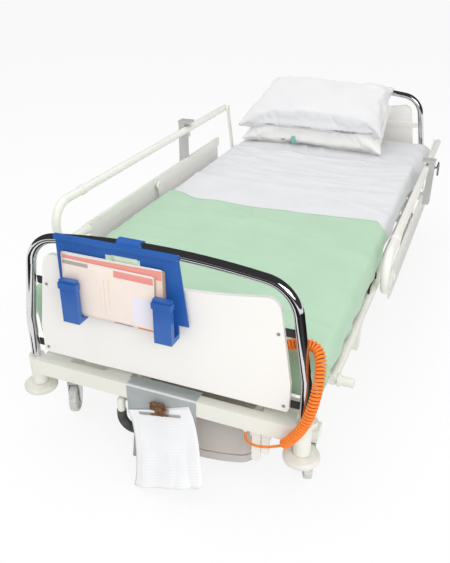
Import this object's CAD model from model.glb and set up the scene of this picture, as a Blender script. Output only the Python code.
import math
import bpy
from mathutils import Matrix, Vector, noise


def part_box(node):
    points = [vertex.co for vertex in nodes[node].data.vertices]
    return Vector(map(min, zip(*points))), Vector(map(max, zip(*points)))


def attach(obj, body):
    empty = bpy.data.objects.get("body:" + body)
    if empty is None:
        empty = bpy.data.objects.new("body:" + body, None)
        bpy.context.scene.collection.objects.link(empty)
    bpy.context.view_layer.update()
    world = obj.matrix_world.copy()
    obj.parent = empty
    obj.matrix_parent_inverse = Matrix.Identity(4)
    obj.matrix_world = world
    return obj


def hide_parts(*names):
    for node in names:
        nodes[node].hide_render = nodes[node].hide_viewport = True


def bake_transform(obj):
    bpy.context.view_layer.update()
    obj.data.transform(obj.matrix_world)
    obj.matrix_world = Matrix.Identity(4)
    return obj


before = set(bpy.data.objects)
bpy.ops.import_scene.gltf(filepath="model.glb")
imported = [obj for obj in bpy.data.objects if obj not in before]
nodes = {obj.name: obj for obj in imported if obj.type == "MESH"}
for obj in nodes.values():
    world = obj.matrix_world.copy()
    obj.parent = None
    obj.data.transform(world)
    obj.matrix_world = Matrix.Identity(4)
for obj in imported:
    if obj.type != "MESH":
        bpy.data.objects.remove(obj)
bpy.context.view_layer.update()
scene = bpy.context.scene
bpy.ops.object.select_all(action="DESELECT")

# Camera
# It stands beyond the right foot corner, a little under eye height, looking down along the bed.
camera_at = Vector((0.7195, -2.3388, 1.4007))
turn, drop, tilt = (math.radians(a) for a in (22.03, 28.0, 0.288))
forward = Vector((-math.sin(turn) * math.cos(drop), math.cos(turn) * math.cos(drop), -math.sin(drop)))
level = Vector((math.cos(turn), math.sin(turn), 0))
right = level * math.cos(tilt) + level.cross(forward) * math.sin(tilt)
camera = bpy.data.objects.new("camera", bpy.data.cameras.new("camera"))
scene.collection.objects.link(camera)
camera.matrix_world = Matrix.Translation(camera_at) @ Matrix(
    (right, right.cross(forward), -forward)).transposed().to_4x4()
camera.data.sensor_fit = "HORIZONTAL"
camera.data.sensor_width = 36
camera.data.lens = 52.73
camera.data.clip_end = 50
scene.camera = camera

# Curled cord
# An orange handset lead: a curled length with a straight lead at each end, moulded in soft rubber.
# It comes out under the foot crossbar, goes round the right leg and back in behind the panel.
cord_d = 0.0072
curl_d = 0.029
curls = 66
steps_per_curl = 20
route_steps, lead_steps = 240, 32
coil_side = Vector((0.35, 0.8, -0.48))
coil_route = [Vector(p) / 1000 for p in (
    (372, -1086, 240), (398, -1091, 275), (419, -1095, 312), (435, -1094, 352), (444, -1085, 393),
    (447, -1070, 430), (446, -1050, 463), (440, -1030, 487), (424, -1009, 501), (400, -1001, 503),
    (360, -1000, 494), (322, -1000, 470), (285, -1000, 430), (256, -1000, 384), (240, -1000, 335))]
lead_route = [Vector(p) / 1000 for p in (
    (258, -1047, 221), (258, -1048, 214), (261, -1055, 207), (270, -1066, 204), (286, -1074, 205),
    (306, -1079, 209), (326, -1082, 216), (348, -1084, 226), (372, -1086, 240))]
back_route = [Vector(p) / 1000 for p in (
    (232, -946, 252), (232, -960, 252), (233, -974, 258), (235, -990, 274), (237, -998, 295),
    (239, -1000, 315), (240, -1000, 335))]


def along(route, share):
    """A point at a share of a smooth line through a route's points."""
    last = len(route) - 1
    k = min(int(share * last), last - 1)
    f = share * last - k
    a, b, c, d = (route[max(min(i, last), 0)] for i in (k - 1, k, k + 1, k + 2))
    return 0.5 * (2 * b + (c - a) * f + (2 * a - 5 * b + 4 * c - d) * f * f
                  + (3 * b - a - 3 * c + d) * f ** 3)


def ease(t):
    t = min(max(t, 0), 1)
    return t * t * (3 - 2 * t)


def run_length(points):
    return sum((b - a).length for a, b in zip(points, points[1:]))


def tube(name, points, diameter, sides=10):
    line = bpy.data.curves.new(name, "CURVE")
    line.dimensions = "3D"
    line.bevel_depth = diameter / 2
    line.bevel_resolution = sides // 2 - 1
    line.use_fill_caps = True
    spline = line.splines.new("POLY")
    spline.points.add(len(points) - 1)
    for point, place in zip(spline.points, points):
        point.co = (*place, 1)
    piece = bpy.data.objects.new(name, line)
    scene.collection.objects.link(piece)
    bpy.context.view_layer.objects.active = piece
    piece.select_set(True)
    bpy.ops.object.convert(target="MESH")
    piece = bpy.context.view_layer.objects.active
    piece.data.shade_smooth()
    piece.select_set(False)
    return piece


fine = [along(coil_route, i / route_steps) for i in range(route_steps + 1)]
reach = [0.0]
for a, b in zip(fine, fine[1:]):
    reach.append(reach[-1] + (b - a).length)


def at_reach(s):
    """The share of the coil's route at a distance along it."""
    k = next((i for i in range(route_steps) if reach[i + 1] >= s), route_steps - 1)
    return (k + (s - reach[k]) / max(reach[k + 1] - reach[k], 1e-6)) / route_steps


coil_path = []
for i in range(curls * steps_per_curl + 1):
    share = at_reach(i / (curls * steps_per_curl) * reach[-1])
    way = (along(coil_route, min(share + 0.002, 1)) - along(coil_route, max(share - 0.002, 0))).normalized()
    out = way.cross(coil_side).normalized()
    angle = math.tau * i / steps_per_curl
    grow = ease(i / steps_per_curl) * ease(curls - i / steps_per_curl)
    coil_path.append(along(coil_route, share) + (curl_d - cord_d) / 2 * grow * (
        math.cos(angle) * out + math.sin(angle) * way.cross(out)))


def surface(name, colour, rough, metal=0.0, spread=0.03, patch=0.1, tooth=0.0, tooth_size=0.002, rub=0.05,
            coat=0.0, sheen=0.0, stretch=(1, 1, 1)):
    """A finish with clouded colour, uneven gloss and a fine tooth, all on object coordinates.
    Stretch draws the tooth out along an axis, as brushing does."""
    material = bpy.data.materials.new(name)
    material.use_nodes = True
    tree = material.node_tree
    shader = tree.nodes["Principled BSDF"]
    shader.inputs["Metallic"].default_value = metal
    shader.inputs["Coat Weight"].default_value = coat
    shader.inputs["Coat Roughness"].default_value = 0.08
    shader.inputs["Sheen Weight"].default_value = sheen
    shader.inputs["Sheen Roughness"].default_value = 0.4
    place = tree.nodes.new("ShaderNodeTexCoord")
    cloud = tree.nodes.new("ShaderNodeTexNoise")
    cloud.inputs["Scale"].default_value = 1 / patch
    cloud.inputs["Detail"].default_value = 5
    tree.links.new(place.outputs["Object"], cloud.inputs["Vector"])
    tint = tree.nodes.new("ShaderNodeValToRGB")
    tint.name = "tint"
    tint.color_ramp.elements[0].position = 0.3
    tint.color_ramp.elements[1].position = 0.7
    tint.color_ramp.elements[0].color = [c * (1 - spread) for c in colour] + [1]
    tint.color_ramp.elements[1].color = [min(c * (1 + spread), 1) for c in colour] + [1]
    tree.links.new(cloud.outputs["Fac"], tint.inputs["Fac"])
    tree.links.new(tint.outputs["Color"], shader.inputs["Base Color"])
    gloss = tree.nodes.new("ShaderNodeMapRange")
    gloss.inputs["From Min"].default_value = 0.3
    gloss.inputs["From Max"].default_value = 0.7
    gloss.inputs["To Min"].default_value = max(rough - rub, 0.02)
    gloss.inputs["To Max"].default_value = min(rough + rub, 1)
    tree.links.new(cloud.outputs["Fac"], gloss.inputs["Value"])
    tree.links.new(gloss.outputs["Result"], shader.inputs["Roughness"])
    if tooth:
        grain = tree.nodes.new("ShaderNodeTexNoise")
        grain.inputs["Scale"].default_value = 1 / tooth_size
        grain.inputs["Detail"].default_value = 3
        drawn = tree.nodes.new("ShaderNodeMapping")
        drawn.inputs["Scale"].default_value = stretch
        tree.links.new(place.outputs["Object"], drawn.inputs["Vector"])
        tree.links.new(drawn.outputs["Vector"], grain.inputs["Vector"])
        bump = tree.nodes.new("ShaderNodeBump")
        bump.inputs["Distance"].default_value = tooth
        bump.inputs["Strength"].default_value = 0.6
        tree.links.new(grain.outputs["Fac"], bump.inputs["Height"])
        tree.links.new(bump.outputs["Normal"], shader.inputs["Normal"])
    return material


orange_rubber = surface("orange_rubber", (0.95, 0.235, 0.025), 0.38, spread=0.08, patch=0.02, tooth=0.0002,
                        tooth_size=0.001, sheen=0.05)


def rubber_cord(name, points):
    cord = tube(name, points, cord_d)
    cord.data.materials.append(orange_rubber)
    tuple(points[0])
    round(run_length(points), 3)
    return cord


coil = rubber_cord("curled_cord", coil_path)
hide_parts("cord_coil")
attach(coil, "foot_end")
for name, route in (("cord_lead_in", lead_route), ("cord_lead_back", back_route)):
    lead_path = [along(route, i / lead_steps) for i in range(lead_steps + 1)]
    lead = rubber_cord(name, lead_path)
    if name == "cord_lead_in":
        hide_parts("cord_lead")
    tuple(lead_path[0])
    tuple(lead_path[-1])
    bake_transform(lead)

# Chassis, lift and upper frame
# Square steel tube, welded and sprayed with a cream enamel that is baked on. The mill leaves a faint
# unevenness under the paint, and the corners of the tube are rounded.


def dress(name, material, edge=0.0012, steps=2, angle=35):
    """Puts a finish on a solid, joins its facets and breaks its sharp edges."""
    piece = nodes[name]
    for slot in piece.material_slots:
        slot.material = material
    piece.data.shade_smooth()
    weld = piece.modifiers.new("weld", "WELD")
    weld.merge_threshold = 0.00001
    if edge:
        bevel = piece.modifiers.new("edges", "BEVEL")
        bevel.width = edge
        bevel.segments = steps
        bevel.limit_method = "ANGLE"
        bevel.angle_limit = math.radians(angle)
        bevel.harden_normals = False
    shade = piece.modifiers.new("shade", "WEIGHTED_NORMAL")
    shade.keep_sharp = False


cream_enamel = surface("cream_enamel", (0.83, 0.825, 0.75), 0.34, spread=0.02, patch=0.16, tooth=0.00012,
                       tooth_size=0.0016, rub=0.06, coat=0.2)
for name in ("chassis_frame", "lift_arms_foot", "lift_arms_head", "side_carriers", "seat_deck",
             "backrest_deck"):
    dress(name, cream_enamel, edge=0.002, steps=3)
for name in ("main_frame", "foot_crossbar", "head_crossbar"):
    dress(name, cream_enamel, edge=0.005, steps=4)

# Mattress retainers
# Bent wire loops dipped in black plastic, standing on the carrier tubes.
black_plastic = surface("black_plastic", (0.02, 0.02, 0.022), 0.45, spread=0.1, patch=0.02, tooth=0.0002,
                        tooth_size=0.001)
dress("mattress_retainers", black_plastic, edge=0)

# Pump and ram
# A hydraulic pump in dark hammered paint, with a ground and chromed ram rod.
pump_paint = surface("pump_paint", (0.10, 0.105, 0.11), 0.42, spread=0.12, patch=0.02, tooth=0.0004,
                     tooth_size=0.003, coat=0.2)
dress("pump_unit", pump_paint, edge=0.003, steps=3)
ground_steel = surface("ground_steel", (0.70, 0.71, 0.72), 0.12, metal=1, spread=0.04, patch=0.02,
                       tooth=0.00002, tooth_size=0.0006)
dress("ram_rod", ground_steel, edge=0.0008)

# Pump pedal
# A bent steel tube in white enamel. Its foot end wears a black rubber sleeve, dulled and a little grey
# from shoes.
white_enamel = surface("white_enamel", (0.86, 0.855, 0.80), 0.32, spread=0.02, patch=0.14, tooth=0.0001,
                       tooth_size=0.0016, rub=0.06, coat=0.2)
dress("pump_pedal", white_enamel, edge=0.0015)
dark_rubber = surface("dark_rubber", (0.075, 0.08, 0.075), 0.6, spread=0.25, patch=0.02, tooth=0.0004,
                      rub=0.1)
dress("pedal_sleeve", dark_rubber, edge=0.0008)

# Release pedals
# Cast levers with rounded feet, in the same white enamel as the pump pedal.
for name in ("release_pedal_a", "release_pedal_b"):
    dress(name, white_enamel, edge=0.003, steps=3)

# Base cover
# A vacuum-formed shroud in warm grey plastic with a fine grain, pressed over the pump and the foot
# castors' cross member, with a groove above its lip.
cover_plastic = surface("cover_plastic", (0.60, 0.555, 0.525), 0.5, spread=0.04, patch=0.1, tooth=0.0003,
                        tooth_size=0.0012)
dress("base_cover", cover_plastic, edge=0.0025, steps=3, angle=28)

# Castors
# Zinc-plated forks with light grey nylon wheels. The treads are scuffed darker than the hubs.
zinc = surface("zinc", (0.62, 0.62, 0.61), 0.3, metal=0.85, spread=0.1, patch=0.02, tooth=0.00006,
               tooth_size=0.0008)
grey_castor = surface("grey_castor", (0.66, 0.66, 0.64), 0.48, spread=0.16, patch=0.012, tooth=0.0003,
                      rub=0.12)
for end in ("foot", "head"):
    for side in ("left", "right"):
        dress(f"castor_fork_{end}_{side}", zinc, edge=0.0012)
        dress(f"castor_wheel_{end}_{side}", grey_castor, edge=0.001)

# Buffer rollers
# Thick cream plastic discs under the corner posts, that roll along walls and door frames. Their rims are
# rubbed.
buffer_plastic = surface("buffer_plastic", (0.77, 0.755, 0.69), 0.42, spread=0.07, patch=0.03, tooth=0.0003,
                         rub=0.1)
for end in ("foot", "head"):
    for side in ("left", "right"):
        dress(f"buffer_{end}_{side}", buffer_plastic, edge=0.002, angle=50)

# Drop sides
# White enamelled tube and strip with a laminate board hung below, a plastic-capped latch post and a
# chromed hook. Two flat arms carry each side.
board_laminate = surface("board_laminate", (0.82, 0.81, 0.775), 0.4, spread=0.015, patch=0.3, tooth=0.0001,
                         tooth_size=0.003)
grey_enamel = surface("grey_enamel", (0.50, 0.50, 0.49), 0.36, spread=0.04, patch=0.05, tooth=0.0001,
                      tooth_size=0.0016, coat=0.2)
hook_chrome = surface("hook_chrome", (0.72, 0.73, 0.75), 0.09, metal=1, spread=0.04, patch=0.02,
                      tooth=0.00002, tooth_size=0.003)
for side in ("left", "right"):
    for piece in ("frame", "arm_head", "arm_foot"):
        dress(f"cot_{piece}_{side}", white_enamel, edge=0.0015)
    dress(f"cot_post_{side}", grey_enamel, edge=0.003, steps=3)
    dress(f"cot_board_{side}", board_laminate, edge=0.002, steps=3)
    dress(f"cot_hook_{side}", hook_chrome, edge=0)

# Bed ends
# Chromed steel hoops with a board in white laminate each. Two dark steel straps behind the board clamp
# it to the hoop, and zinc-plated screws go through it.
chrome = surface("chrome", (0.74, 0.74, 0.76), 0.055, metal=1, spread=0.03, patch=0.05, rub=0.02,
                 tooth=0.00002, tooth_size=0.004)
panel_laminate = surface("panel_laminate", (0.88, 0.865, 0.83), 0.3, spread=0.012, patch=0.4,
                         tooth=0.00008, tooth_size=0.003)
dark_steel = surface("dark_steel", (0.06, 0.06, 0.065), 0.4, metal=0.5, spread=0.1, patch=0.05,
                     tooth=0.00006)
for end in ("foot", "head"):
    dress(f"{end}_hoop", chrome, edge=0)
    dress(f"{end}_panel", panel_laminate, edge=0.0015)
dress("foot_fixings", dark_steel, edge=0.0006)
dull_zinc = surface("dull_zinc", (0.42, 0.42, 0.41), 0.4, metal=0.6, spread=0.1, patch=0.01)
fixings = nodes["foot_fixings"]
fixings.data.materials.append(dull_zinc)
panel_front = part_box("foot_panel")[0].y
for face in fixings.data.polygons:
    if (fixings.matrix_world @ face.center).y < panel_front + 0.001:
        face.material_index = len(fixings.data.materials) - 1
dress("head_fixings", white_enamel, edge=0.0006)

# Chart holder
# A blue plastic plate with two pocket arms, hooked over the foot hoop's tube.
blue_plastic = surface("blue_plastic", (0.022, 0.115, 0.42), 0.3, spread=0.06, patch=0.08, tooth=0.0001,
                       coat=0.15)
dress("chart_holder", blue_plastic, edge=0.0015, steps=3)

# Chart folders
# Three card folders of loose sheets standing in the pockets, their spines to the right, with a green
# note behind them. The front two have a printed band, and the card bows a little as it leans.
card_thick, page_thick = 0.0004, 0.0002
card_step, page_step = 0.012, 0.015
page_inset, page_narrower, page_lower = 0.002, 0.008, 0.004
back_play = 0.0003
print_strength, rule_strength = 0.85, 0.3
rule_width, rule_blue = 0.0006, (0.55, 0.60, 0.68)


def alone(piece):
    bpy.ops.object.select_all(action="DESELECT")
    bpy.context.view_layer.objects.active = piece
    piece.select_set(True)


def keep_modifiers(piece):
    alone(piece)
    for modifier in list(piece.modifiers):
        bpy.ops.object.modifier_apply(modifier=modifier.name)
    piece.select_set(False)


def cloth(name, across, down, place, thickness):
    """A sheet laid through places worked out from its flat pattern, which it keeps as a UV map."""
    grid = bpy.data.meshes.new(name)
    row = len(down)
    points = [place(u, v) for u in across for v in down]
    faces = [(k, k + row, k + row + 1, k + 1) for i in range(len(across) - 1)
             for k in range(i * row, i * row + row - 1)]
    grid.from_pydata(points, [], faces)
    piece = bpy.data.objects.new(name, grid)
    scene.collection.objects.link(piece)
    layer = grid.uv_layers.new(name="flat")
    for loop in grid.loops:
        i, j = divmod(loop.vertex_index, row)
        layer.data[loop.index].uv = (across[i], down[j])
    body = piece.modifiers.new("thickness", "SOLIDIFY")
    body.thickness = thickness
    body.offset = 1
    keep_modifiers(piece)
    piece.data.shade_smooth()
    return piece


def even(start, stop, step):
    count = max(round((stop - start) / step), 1)
    return [start + (stop - start) * i / count for i in range(count + 1)]


def calc(tree, operation, *values):
    """A sum in a material. Each value is a number or a socket."""
    node = tree.nodes.new("ShaderNodeMath")
    node.operation = operation
    for socket, value in zip(node.inputs, values):
        if isinstance(value, bpy.types.NodeSocket):
            tree.links.new(value, socket)
        else:
            socket.default_value = value
    return node.outputs[0]


def overlay(tree, share, under, colour):
    """A plain colour laid over another by a share from 0 to 1."""
    mixed = tree.nodes.new("ShaderNodeMixRGB")
    mixed.inputs["Color2"].default_value = (*colour, 1)
    tree.links.new(share, mixed.inputs["Fac"])
    tree.links.new(under, mixed.inputs["Color1"])
    return mixed.outputs["Color"]


def paper(name, colour, bands=(), ruled=None):
    """Card or paper. A band is printed from left to right and low to high on the flat leaf, in metres."""
    material = surface(name, colour, 0.72, spread=0.02, patch=0.05, tooth=0.00004, tooth_size=0.0015)
    tree = material.node_tree
    flat = tree.nodes.new("ShaderNodeUVMap")
    flat.uv_map = "flat"
    apart = tree.nodes.new("ShaderNodeSeparateXYZ")
    tree.links.new(flat.outputs["UV"], apart.inputs[0])
    across, down = apart.outputs["X"], apart.outputs["Y"]
    ink = tree.nodes["tint"].outputs["Color"]
    for left, right, low, high, print_colour in bands:
        in_height = calc(tree, "COMPARE", down, (low + high) / 2, (high - low) / 2)
        in_width = calc(tree, "COMPARE", across, (left + right) / 2, (right - left) / 2)
        printed = calc(tree, "MULTIPLY", calc(tree, "MULTIPLY", in_height, in_width), print_strength)
        ink = overlay(tree, printed, ink, print_colour)
    if ruled:
        line = calc(tree, "COMPARE", calc(tree, "MODULO", down, ruled), rule_width / 2, rule_width / 2)
        ink = overlay(tree, calc(tree, "MULTIPLY", line, rule_strength), ink, rule_blue)
    tree.links.new(ink, tree.nodes["Principled BSDF"].inputs["Base Color"])
    return material


def folder(name, corner, size, lean, thick, bow, card, pages):
    """A folded card with its spine to the right, and sheets in it. A page says how deep it stands as a
    share of the folder, and how far it is pushed up and to the right."""
    width, height = size
    lean = math.radians(lean)
    spine = math.pi * thick / 2

    def stand(x, depth, z):
        return Vector(corner) + Vector((x * math.cos(lean) + z * math.sin(lean), -depth,
                                        z * math.cos(lean) - x * math.sin(lean)))

    def place(u, v):
        z = height - v
        if u < width:
            return stand(u, back_play, z)
        if u < width + spine:
            a = (u - width) / spine * math.pi
            return stand(width + math.sin(a) * thick / 2, thick / 2 * (1 - math.cos(a)), z)
        x = 2 * width + spine - u
        loose_edge = bow * math.sin(math.pi * z / height) ** 2
        return stand(x, thick - card_thick + loose_edge * ease((width - x) / width * 2), z)

    around = even(0, width, card_step)[:-1] + even(width, width + spine, spine / 8)[:-1] + even(
        width + spine, 2 * width + spine, card_step)
    cover = cloth(name, around, even(0, height, card_step), place, card_thick)
    cover.data.materials.append(card)
    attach(cover, "foot_end")
    page_width, page_height = width - page_narrower, height - page_lower
    for k, (depth, up, shift) in enumerate(pages):
        leaf = cloth(f"{name}_page_{k}", even(0, page_width, page_step), even(0, page_height, page_step),
                     lambda u, v: stand(page_inset + shift + u, thick * depth, height + up - v), page_thick)
        leaf.data.materials.append(page_white)
        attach(leaf, "foot_end")
    return cover


page_white = paper("page_white", (0.84, 0.82, 0.78))
spine_tan, heading_red = (0.36, 0.25, 0.16), (0.78, 0.22, 0.20)
pen_tan, tab_grey = (0.74, 0.48, 0.26), (0.33, 0.30, 0.27)
tan_card = paper("tan_card", (0.76, 0.56, 0.42), [(0.2995, 0.3095, 0, 0.2, spine_tan)])
pink_card = paper("pink_card", (0.85, 0.68, 0.58), [
    (0.2895, 0.2985, 0, 0.2, spine_tan), (0.30, 0.60, 0.0, 0.026, (0.80, 0.24, 0.20))])
cream_card = paper("cream_card", (0.88, 0.77, 0.69), [
    (0.2715, 0.279, 0, 0.2, spine_tan), (0.282, 0.395, 0.002, 0.021, heading_red),
    (0.47, 0.548, 0.001, 0.012, tab_grey), (0.410, 0.4112, 0.03, 0.12, pen_tan),
    (0.424, 0.4252, 0.035, 0.14, pen_tan), (0.436, 0.437, 0.06, 0.13, (0.76, 0.56, 0.36)),
    (0.288, 0.345, 0.066, 0.145, (0.80, 0.79, 0.90)), (0.284, 0.330, 0.154, 0.158, (0.80, 0.07, 0.06)),
    (0.345, 0.40, 0.155, 0.158, (0.12, 0.17, 0.36))])
green_note = paper("green_note", (0.66, 0.78, 0.60))
back_folder = folder("back_folder", (-0.262, -1.0543, 0.485), (0.300, 0.174), 0, 0.006, 0, tan_card,
                     [(0.25, 0.002, 0.001), (0.5, 0.0035, 0), (0.75, 0.001, 0.002)])
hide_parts("chart_folders")
folder("middle_folder", (-0.250, -1.0603, 0.487), (0.290, 0.170), -1, 0.005, 0, pink_card,
       [(0.3, 0.003, 0), (0.6, 0.0015, 0.002)])
folder("front_folder", (-0.258, -1.0653, 0.486), (0.272, 0.160), 1, 0.004, 0.002, cream_card,
       [(0.5, 0.003, 0.001)])
note_size, note_corner = (0.075, 0.19), Vector((-0.112, -1.0538, 0.676))
note = cloth("loose_note", even(0, note_size[0], page_step), even(0, note_size[1], page_step),
             lambda u, v: note_corner + Vector((u, 0, -v)), page_thick)
note.data.materials.append(green_note)
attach(note, "foot_end")

# Clipboard
# A sheet of brushed grey steel folded over the foot crossbar, so that its front hangs down as a board.
# Its upper bend is rubbed bright.
clip_grey = surface("clip_grey", (0.47, 0.50, 0.50), 0.34, metal=0.2, spread=0.05, patch=0.03, tooth=0.00008,
                    tooth_size=0.0012, stretch=(0.08, 1, 1))
plate_front = -1.0655
plate_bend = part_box("clipboard")[1].z - plate_front
rub_start, rub_full = 0.006, 0.003


def fade(tree, value, start, stop):
    """0 to 1 while a value goes from start to stop."""
    span = tree.nodes.new("ShaderNodeMapRange")
    span.inputs["From Min"].default_value = start
    span.inputs["From Max"].default_value = stop
    tree.links.new(value, span.inputs["Value"])
    return span.outputs["Result"]


def axes_of(tree):
    apart = tree.nodes.new("ShaderNodeSeparateXYZ")
    tree.links.new(tree.nodes["Texture Coordinate"].outputs["Object"], apart.inputs[0])
    return apart.outputs


def show_through(tree, share, colour):
    """Bares a second colour under a finish by a share."""
    bared = overlay(tree, share, tree.nodes["tint"].outputs["Color"], colour)
    tree.links.new(bared, tree.nodes["Principled BSDF"].inputs["Base Color"])


tree = clip_grey.node_tree
axes = axes_of(tree)
toward_bend = calc(tree, "SUBTRACT", axes["Z"], axes["Y"])
show_through(tree, fade(tree, toward_bend, plate_bend - rub_start, plate_bend - rub_full), (0.86, 0.88, 0.88))
dress("clipboard", clip_grey, edge=0.0009, steps=3)

# Spring clip
# Bent spring steel with a wire bail and a long jaw. The coiled part has rusted, and the jaw's ends
# are still bare.
clip_mid = 0.012
rust_end, bare_start = 0.022, 0.034
rusty_steel = surface("rusty_steel", (0.27, 0.14, 0.07), 0.5, metal=0.45, spread=0.55, patch=0.006,
                      tooth=0.0004, tooth_size=0.0015, rub=0.2)
tree = rusty_steel.node_tree
from_mid = calc(tree, "ABSOLUTE", calc(tree, "SUBTRACT", axes_of(tree)["X"], clip_mid))
show_through(tree, fade(tree, from_mid, rust_end, bare_start), (0.55, 0.55, 0.54))
dress("clipboard_clip", rusty_steel, edge=0.0004)

# Chart papers
# Four ruled sheets of office paper in the clip. They hang askew, fan out, bow forward and are softly
# pleated, with the lower right corner curled back.
paper_size = (0.202, 0.224)
paper_pin = Vector((0.0065, -1.0686, 0.2295))
paper_turns = (17, 18.5, 20, 21.5)
paper_straight_share = 0.12
paper_bow, paper_gap, paper_spread = 0.084, 0.0007, 0.003
bow_loss, corner_loss = 0.023, 0.006
pleat_depth, pleat_rate, dent_depth = 0.0035, 55, 0.006
corner_back, corner_down = 0.008, 0.006
paper_step, paper_thick = 0.006, 0.00025
sheet_paper = paper("sheet_paper", (0.86, 0.865, 0.875), [(0.02, 0.0206, 0.0, 0.2, (0.78, 0.60, 0.60))],
                    ruled=0.008)


def hang_leaf(u, v, k, turn):
    run = max(v / paper_size[1] - paper_straight_share, 0) / (1 - paper_straight_share)
    bowed = paper_bow * run ** 1.5 - paper_gap * k + paper_spread * (3 - k) / 3 * run ** 4
    bowed += pleat_depth * run * math.sin(u * pleat_rate + k + 3 * noise.noise(Vector((u * 6, v * 3, k))))
    bowed += dent_depth * run ** 2 * noise.noise(Vector((u * 9, v * 5, k)))
    corner = ease((u / paper_size[0] - 0.55) / 0.45) * ease((run - 0.6) / 0.4)
    v -= bow_loss * run ** 2 + corner_loss * ease((run - 0.85) / 0.15) * ease(1 - u / 0.07)
    x = u - paper_size[0] / 2
    return paper_pin + Vector((x * math.cos(turn) + v * math.sin(turn), corner_back * corner - bowed,
                               x * math.sin(turn) - v * math.cos(turn) - corner_down * corner))


for k, turn in enumerate(paper_turns):
    leaf = cloth(f"chart_paper_{k}", even(0, paper_size[0], paper_step), even(0, paper_size[1], paper_step),
                 lambda u, v: hang_leaf(u, v, k, math.radians(turn)), paper_thick)
    leaf.data.materials.append(sheet_paper)
    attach(leaf, "upper_frame")
    if k == 0:
        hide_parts("chart_papers")

# Mattress
# A foam mattress in a white wipe-clean cover, one piece that folds over the backrest hinge.
# Its edges are rounded. It is cut across into short lengths, so that it bends.
bed_lo, bed_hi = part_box("mattress_main")
back_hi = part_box("mattress_back")[1]
bed_top = bed_hi.z
bed_length = back_hi.y - bed_lo.y
hinge_y, fold_half = 0.212, 0.06
fold_start, fold_end = (0, hinge_y - fold_half, bed_top), (0, hinge_y + fold_half, bed_top)
bed_round, bed_trim, bed_trim_z, bed_sink = 0.026, 0.004, 0.003, 0.0005
bed_lengths = 24
bare_wave = 0.314


def cotton(name, colour, weave, depth=0.0002, sheen=0.2):
    """Woven cloth: two crossed thread waves broken up by slubs, with a soft sheen. A wave texture at
    scale 1 is bare_wave long."""
    material = surface(name, colour, 0.85, spread=0.02, patch=0.12, sheen=sheen)
    tree = material.node_tree
    place = tree.nodes["Texture Coordinate"].outputs["Object"]
    threads = []
    for axis in ("X", "Y"):
        thread = tree.nodes.new("ShaderNodeTexWave")
        thread.bands_direction = axis
        thread.inputs["Scale"].default_value = bare_wave / weave
        thread.inputs["Distortion"].default_value = 1.5
        thread.inputs["Detail Scale"].default_value = 2
        tree.links.new(place, thread.inputs["Vector"])
        threads.append(thread.outputs["Fac"])
    slubs = tree.nodes.new("ShaderNodeTexNoise")
    slubs.inputs["Scale"].default_value = 120
    slubs.inputs["Detail"].default_value = 4
    tree.links.new(place, slubs.inputs["Vector"])
    bump = tree.nodes.new("ShaderNodeBump")
    bump.inputs["Distance"].default_value = depth
    bump.inputs["Strength"].default_value = 0.5
    height = calc(tree, "MULTIPLY_ADD", slubs.outputs["Fac"], 1.2, calc(tree, "ADD", *threads))
    tree.links.new(height, bump.inputs["Height"])
    tree.links.new(bump.outputs["Normal"], tree.nodes["Principled BSDF"].inputs["Normal"])
    return material


def into_place(piece):
    alone(piece)
    bpy.ops.object.transform_apply(location=True, rotation=True, scale=True)
    piece.select_set(False)


cover_cotton = cotton("cover_cotton", (0.80, 0.81, 0.84), 0.0012)
bpy.ops.object.select_all(action="DESELECT")
bpy.ops.mesh.primitive_cube_add(size=1, location=(
    0, bed_lo.y + bed_length / 2, (bed_lo.z + bed_hi.z) / 2 - bed_sink))
mattress = bpy.context.object
mattress.name = "mattress"
mattress.scale = (bed_hi.x - bed_lo.x - bed_trim, bed_length - bed_trim, bed_hi.z - bed_lo.z - bed_trim_z)
into_place(mattress)
rounding = mattress.modifiers.new("rounding", "BEVEL")
rounding.width = bed_round
rounding.segments = 6
keep_modifiers(mattress)
alone(mattress)
bpy.ops.object.mode_set(mode="EDIT")
for k in range(1, bed_lengths):
    bpy.ops.mesh.select_all(action="SELECT")
    bpy.ops.mesh.bisect(plane_co=(0, bed_lo.y + bed_length * k / bed_lengths, 0), plane_no=(0, 1, 0))
bpy.ops.mesh.select_all(action="SELECT")
bpy.ops.mesh.normals_make_consistent(inside=False)
bpy.ops.object.mode_set(mode="OBJECT")
mattress.data.shade_smooth()
mattress.data.materials.append(cover_cotton)
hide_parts("mattress_main", "mattress_back", "mattress_fold")
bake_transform(mattress)
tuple(fold_start)
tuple(fold_end)

# Sheets
# A white cotton under sheet covers the mattress and hangs at the sides. A second sheet lies on it
# from under the blanket to below the pillows, creased across where it was folded and pulled.
side_x = bed_hi.x
edge_x = side_x - 0.004
under_thick, under_lift, over_lift = 0.0012, 0.0015, 0.0065
under_step, over_step = 0.010, 0.009
under_fall_left, under_fall_right, over_fall = 0.085, 0.10, 0.07
over_foot, over_head = -0.30, 0.62
sheet_end = 0.004
tucked_out = 0.036


def ridge(t):
    return 1 - abs(2 * (t - math.floor(t)) - 1)


def creases(x, y, angle, wave, seed, sharp=2.0, wander=0.6, size=0.35):
    """Height from 0 to 1 of long creases across the cloth, which wander and fade."""
    c, s = math.cos(angle), math.sin(angle)
    across, down = x * c + y * s, -x * s + y * c
    drift = noise.noise(Vector((across / size, down / (size * 2.5), seed)))
    fading = ease(0.5 + 1.2 * noise.noise(Vector((across / (size * 0.6), down / (size * 1.4), seed + 7.3))))
    return ridge(across / wave + drift * wander * 2) ** sharp * fading


def hang(over, lift, bend=0.018):
    """How far cloth goes out and down, for a distance past the edge that it bends over."""
    if over <= 0:
        return 0.0, lift
    turned = min(over / bend, math.pi / 2)
    drop = (1 - math.cos(turned)) * bend * 0.8 + max(over - bend * math.pi / 2, 0)
    return math.sin(turned) * (bend * 0.3 + lift), lift * math.cos(turned) - drop


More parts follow.
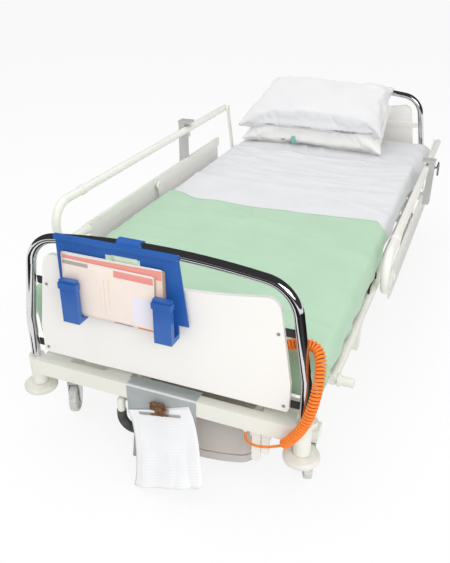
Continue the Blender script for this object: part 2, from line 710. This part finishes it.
def flutes(over, depth, rate, along_edge, spot):
    """How far the hanging edge waves out, from 0 at the bend."""
    swing = math.sin(along_edge * rate + 3 * noise.noise(Vector(spot)))
    return depth * ease(over / 0.06) * (0.5 + 0.5 * swing)


def past_edge(wrinkle, over):
    """Wrinkles run out within 20 mm past the edge."""
    return wrinkle * min(max(1 - over / 0.02, 0), 1)


def under_place(u, v):
    side = 1 if u > 0 else -1
    over = abs(u) - edge_x
    out, up = hang(over, under_lift)
    head = ease((v - 0.1) / 0.6)
    wrinkle = (0.003 * creases(u, v, 1.35, 0.11, 3, size=0.3)
               + 0.005 * head * creases(u, v, 1.9, 0.09, 11, size=0.25)
               + 0.009 * head * creases(u, v, 0.5, 0.075, 5, sharp=3, size=0.2) * ease((v - 0.4) / 0.2))
    wave = flutes(over, 0.006, 31, v, (v * 3, side, 2))
    spread = tucked_out * ease(over / 0.05) * ease((v - 0.5) / 0.2) if side > 0 else 0
    x = side * (min(abs(u), edge_x) + out + wave + spread)
    return Vector((x, v, bed_top + up + past_edge(wrinkle, over)))


sheet_cotton = cotton("sheet_cotton", (0.73, 0.735, 0.755), 0.0011)
under_sheet = cloth("under_sheet", even(-side_x - under_fall_left, side_x + under_fall_right, under_step),
                    even(bed_lo.y + sheet_end, back_hi.y - sheet_end, under_step), under_place, under_thick)
under_sheet.data.materials.append(sheet_cotton)
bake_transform(under_sheet)
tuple(fold_start)
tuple(fold_end)


def over_place(u, v):
    side = 1 if u > 0 else -1
    over = abs(u) - edge_x
    out, up = hang(over, over_lift)
    head = ease((v + 0.11) / 0.10)
    wrinkle = head * (0.010 * creases(u, v, 1.62, 0.17, 21, wander=1.1, size=0.4)
                      + 0.007 * creases(u, v, 1.80, 0.08, 31, wander=1.2, size=0.25)
                      + 0.009 * creases(u, v, 1.15, 0.13, 41, sharp=4, wander=0.9, size=0.3))
    x = side * (min(abs(u), edge_x) + out + flutes(over, 0.005, 27, v, (v * 3, side, 9)))
    return Vector((x, v, bed_top + up + past_edge(wrinkle, over)))


over_sheet = cloth("over_sheet", even(-side_x - over_fall, side_x + over_fall, over_step),
                   even(over_foot, over_head, over_step), over_place, under_thick)
over_sheet.data.materials.append(sheet_cotton)
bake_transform(over_sheet)
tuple(fold_start)
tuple(fold_end)

# Blanket
# A soft brushed-cotton blanket over the foot half. It hangs over the right edge and the foot in loose
# folds, is tucked at the left, and its turned top edge lies a little askew across the bed.
foot_y = bed_lo.y
blanket_top = -0.075
tuck_side, fall_side, fall_foot = 0.016, 0.084, 0.15
blanket_lift, blanket_bend, blanket_thick, blanket_step = 0.012, 0.02, 0.003, 0.009
pull_left, pull_right = 0.055, 0.05
seam_high, seam_half = 0.003, 0.02


def blanket_place(u, v):
    side = 1 if u > 0 else -1
    pulled = pull_left * ease((u + 0.43) / 0.16) * (1 - 0.5 * ease((u + 0.05) / 0.45))
    pulled += pull_right * ease((u - 0.40) / 0.04)
    v -= pulled * ease((v + 0.45) / 0.35)
    hem = 1 - 0.75 * ease((v + 0.33) / 0.25) if side > 0 else 1
    dx = max(abs(u) - side_x, 0) * hem
    dy = max(foot_y - v, 0)
    d = min(math.hypot(dx, dy), fall_foot)
    nx, ny = (dx / d, dy / d) if d > 0 else (0, 0)
    out, up = hang(d, blanket_lift, bend=blanket_bend)
    folds = math.sin((v + u * ny) * 42 + 2 * noise.noise(Vector((u * 4, v * 4, 3))))
    out += 0.006 * ease(d / 0.06) * (0.5 + 0.5 * folds)
    wrinkle = 0.007 * creases(u, v, 1.45, 0.16, 51, size=0.4) + 0.006 * creases(u, v, 1.1, 0.13, 61, size=0.3)
    wrinkle += 0.003 * noise.noise(Vector((u * 6, v * 6, 1)))
    wrinkle += seam_high * ease(1 - abs(v - blanket_top + seam_half) / seam_half)
    return Vector((side * (min(abs(u), side_x) + nx * out), max(v, foot_y) - ny * out,
                   bed_top + up + past_edge(wrinkle, d)))


green_cotton = cotton("green_cotton", (0.44, 0.635, 0.465), 0.0022, depth=0.0004, sheen=0.25)
blanket = cloth("blanket_cloth", even(-side_x - tuck_side, side_x + fall_side, blanket_step),
                even(foot_y - fall_foot, blanket_top, blanket_step), blanket_place, blanket_thick)
blanket.data.materials.append(green_cotton)
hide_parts("blanket")
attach(blanket, "upper_frame")

# Pillows
# Two stuffed pillows in white cotton cases, the lower one creamier. They lie one on the other before
# the head panel, tilted toward the foot, and are drawn in between their sewn corners.
pillow_voxel = 0.007
seam_rise, crown_rise = 0.004, 0.034
back_taper, back_shear, waist = 0.13, 0.03, 0.035
lump, corner_sag = 0.010, 0.012
air_steps, most_blown = 18, 0.032
seam_crease, body_crease = 0.005, 0.008


def pillow(name, node, at, lean, size, colour, seed, slack=0.0):
    """A stuffed case: a flat box blown up as cloth, with creases that run in from its seams.
    Slack pulls its near right corner back."""
    bpy.ops.object.select_all(action="DESELECT")
    bpy.ops.mesh.primitive_cube_add(size=1)
    piece = bpy.context.object
    piece.name = name
    piece.scale = size
    into_place(piece)
    remesh = piece.modifiers.new("even", "REMESH")
    remesh.mode = "VOXEL"
    remesh.voxel_size = pillow_voxel
    keep_modifiers(piece)
    for point in piece.data.vertices:
        u, v = (min(abs(point.co[k]) * 2 / size[k], 1) for k in (0, 1))
        crown = ((1 - u ** 3.5) * (1 - v ** 3.5)) ** 0.45
        back = point.co.y / size[1] + 0.5
        point.co.z = point.co.z * 2 / size[2] * (seam_rise + crown_rise * crown)
        point.co.x *= 1 + 0.02 * (1 - v * v) - back_taper * back
        point.co.x += back_shear * back
        point.co.y *= 1 - waist * (1 - u * u)
        point.co.y += slack * ease((point.co.x - 0.18) / 0.17) * (1 - back)
        point.co.z += lump * noise.noise(point.co * 5 + Vector((seed, 0, 0))) - corner_sag * u ** 4
    flat_places = [point.co.copy() for point in piece.data.vertices]
    air = piece.modifiers.new("air", "CLOTH")
    air.settings.quality = 6
    air.settings.mass = 0.25
    air.settings.tension_stiffness = 12
    air.settings.compression_stiffness = 6
    air.settings.shear_stiffness = 4
    air.settings.bending_stiffness = 0.4
    air.settings.use_pressure = True
    air.settings.uniform_pressure_force = 4
    air.settings.effector_weights.gravity = 0
    for step in range(1, air_steps + 1):
        scene.frame_set(step)
    keep_modifiers(piece)
    scene.frame_set(1)
    for point, start in zip(piece.data.vertices, flat_places):
        moved = point.co - start
        if moved.length > most_blown:
            point.co = start + moved * (most_blown / moved.length)
    finer = piece.modifiers.new("finer", "SUBSURF")
    finer.levels = finer.render_levels = 1
    keep_modifiers(piece)
    for point in piece.data.vertices:
        u, v = (min(abs(point.co[k]) * 2 / size[k], 1) for k in (0, 1))
        x, y = point.co.x + seed, point.co.y
        side = 1 if point.co.z > 0 else -1
        drawn = seam_crease * creases(x, y, 1.45, 0.055, seed, size=0.12) * ease((u - 0.5) / 0.4)
        drawn += seam_crease * creases(x, y, 0.1, 0.05, seed + 2, size=0.1) * ease((v - 0.45) / 0.4)
        drawn += body_crease * creases(x, y, 0.9, 0.15, seed + 5, size=0.25)
        point.co.z -= side * drawn * (1 - max(u, v) ** 12)
    piece.rotation_euler = (math.radians(lean), 0, 0)
    piece.location = at
    into_place(piece)
    piece.data.shade_smooth()
    piece.data.materials.append(cotton(f"{name}_cotton", colour, 0.0011, depth=0.00015))
    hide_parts(node)
    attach(piece, "backrest")
    return piece


lower_pillow = pillow("lower_pillow", "pillow_lower", (-0.080, 0.875, 0.5606), 24, (0.72, 0.39, 0.045),
                      (0.88, 0.87, 0.85), 4)
pillow("upper_pillow", "pillow_upper", (-0.086, 0.852, 0.645), 27, (0.73, 0.40, 0.045),
       (0.775, 0.775, 0.785), 9, slack=0.015)

# Laundry tag
# A teal woven loop sewn into the front seam of the lower pillow's case.
tag_size, tag_mid = (0.02, 0.034), -0.165
tag_curl, tag_rise, tag_clear, tag_thick = 0.004, 0.014, 0.001, 0.0006
seam_reach = 0.006
teal_tape = cotton("teal_tape", (0.22, 0.52, 0.46), 0.0006, depth=0.0001, sheen=0.1)
seam = min((v.co for v in lower_pillow.data.vertices if abs(v.co.x - tag_mid) < seam_reach),
           key=lambda c: c.y)


def tag_place(u, v):
    curl = math.sin(v / tag_size[1] * math.pi) * tag_curl
    return Vector((tag_mid - tag_size[0] / 2 + u, seam.y - tag_clear - curl, seam.z + tag_rise - v))


tag = cloth("laundry_tag", even(0, tag_size[0], 0.004), even(0, tag_size[1], 0.003), tag_place, tag_thick)
tag.data.materials.append(teal_tape)
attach(tag, "backrest")

# Floor
# A pale studio floor that the camera sees a little brighter than it is lit, so that it runs into the
# white surround. It keeps the bed's shadow.
floor_size, floor_glow = 30, 0.85
bpy.ops.mesh.primitive_plane_add(size=floor_size, location=(0, 0, 0))
floor = bpy.context.object
floor.name = "floor"
floor_paint = bpy.data.materials.new("floor_paint")
floor_paint.use_nodes = True
tree = floor_paint.node_tree
shader = tree.nodes["Principled BSDF"]
shader.inputs["Base Color"].default_value = (0.9, 0.9, 0.9, 1)
shader.inputs["Roughness"].default_value = 0.9
glow = tree.nodes.new("ShaderNodeEmission")
glow.inputs["Strength"].default_value = 1
rays = tree.nodes.new("ShaderNodeLightPath").outputs
seen = calc(tree, "MAXIMUM", rays["Is Camera Ray"], rays["Is Glossy Ray"])
mix = tree.nodes.new("ShaderNodeMixShader")
tree.links.new(calc(tree, "MULTIPLY", seen, floor_glow), mix.inputs["Fac"])
tree.links.new(shader.outputs["BSDF"], mix.inputs[1])
tree.links.new(glow.outputs["Emission"], mix.inputs[2])
tree.links.new(mix.outputs["Shader"], tree.nodes["Material Output"].inputs["Surface"])
floor.data.materials.append(floor_paint)

# Surround
# A white room. Its light on the bed is a little under white, and metal sees it dimmed, as the dark half
# of a studio, so that the chrome has depth.
fill_light, white_light, room_dim = 0.76, 1.0, 0.06


def between(tree, share, low, high):
    """A level that goes from low to high as a share goes from 0 to 1."""
    span = tree.nodes.new("ShaderNodeMapRange")
    span.inputs["To Min"].default_value = low
    span.inputs["To Max"].default_value = high
    tree.links.new(share, span.inputs["Value"])
    return span.outputs["Result"]


world = bpy.data.worlds.new("studio")
scene.world = world
world.use_nodes = True
tree = world.node_tree
sky = tree.nodes["Background"]
rays = tree.nodes.new("ShaderNodeLightPath").outputs
seen = calc(tree, "MAXIMUM", rays["Is Camera Ray"], rays["Is Transmission Ray"])
level = calc(tree, "MULTIPLY", between(tree, seen, fill_light, white_light),
             between(tree, rays["Is Glossy Ray"], 1, room_dim))
tree.links.new(level, sky.inputs["Strength"])
sky.inputs["Color"].default_value = (1, 1, 1, 1)

# Lamps
# A large soft box overhead, kept out of reflections, and a smaller one beyond the right foot corner.
# Black cloths on the floor, which only metal sees, give the chrome its dark bands.


def soft_box(name, at, aim, size, power):
    lamp = bpy.data.objects.new(name, bpy.data.lights.new(name, "AREA"))
    scene.collection.objects.link(lamp)
    lamp.data.shape = "RECTANGLE"
    lamp.data.size, lamp.data.size_y = size
    lamp.data.energy = power
    lamp.location = at
    lamp.rotation_euler = (Vector(aim) - Vector(at)).to_track_quat("-Z", "Y").to_euler()
    return lamp


top_light = soft_box("top_light", (-0.6, -0.4, 3.4), (0, 0, 0.3), (3.5, 3.5), 42)
soft_box("front_light", (2.2, -3.0, 2.2), (0, -0.6, 0.3), (2.0, 1.6), 46)
top_light.visible_glossy = False

black_cloth = bpy.data.materials.new("black_cloth")
black_cloth.use_nodes = True
black_cloth.node_tree.nodes["Principled BSDF"].inputs["Base Color"].default_value = (0.012, 0.009, 0.009, 1)
for place, size in (((0, -1.29, 0.004), (1.6, 0.38)), ((-0.1, -5.2, 0.004), (3.8, 6.7)),
                    ((2.1, -0.6, 0.004), (2.9, 4.0))):
    bpy.ops.mesh.primitive_plane_add(size=1, location=place)
    flag = bpy.context.object
    flag.name = "flag"
    flag.scale = (*size, 1)
    flag.data.materials.append(black_cloth)
    flag.visible_camera = flag.visible_diffuse = flag.visible_shadow = flag.visible_transmission = False

scene.view_settings.view_transform = "Standard"
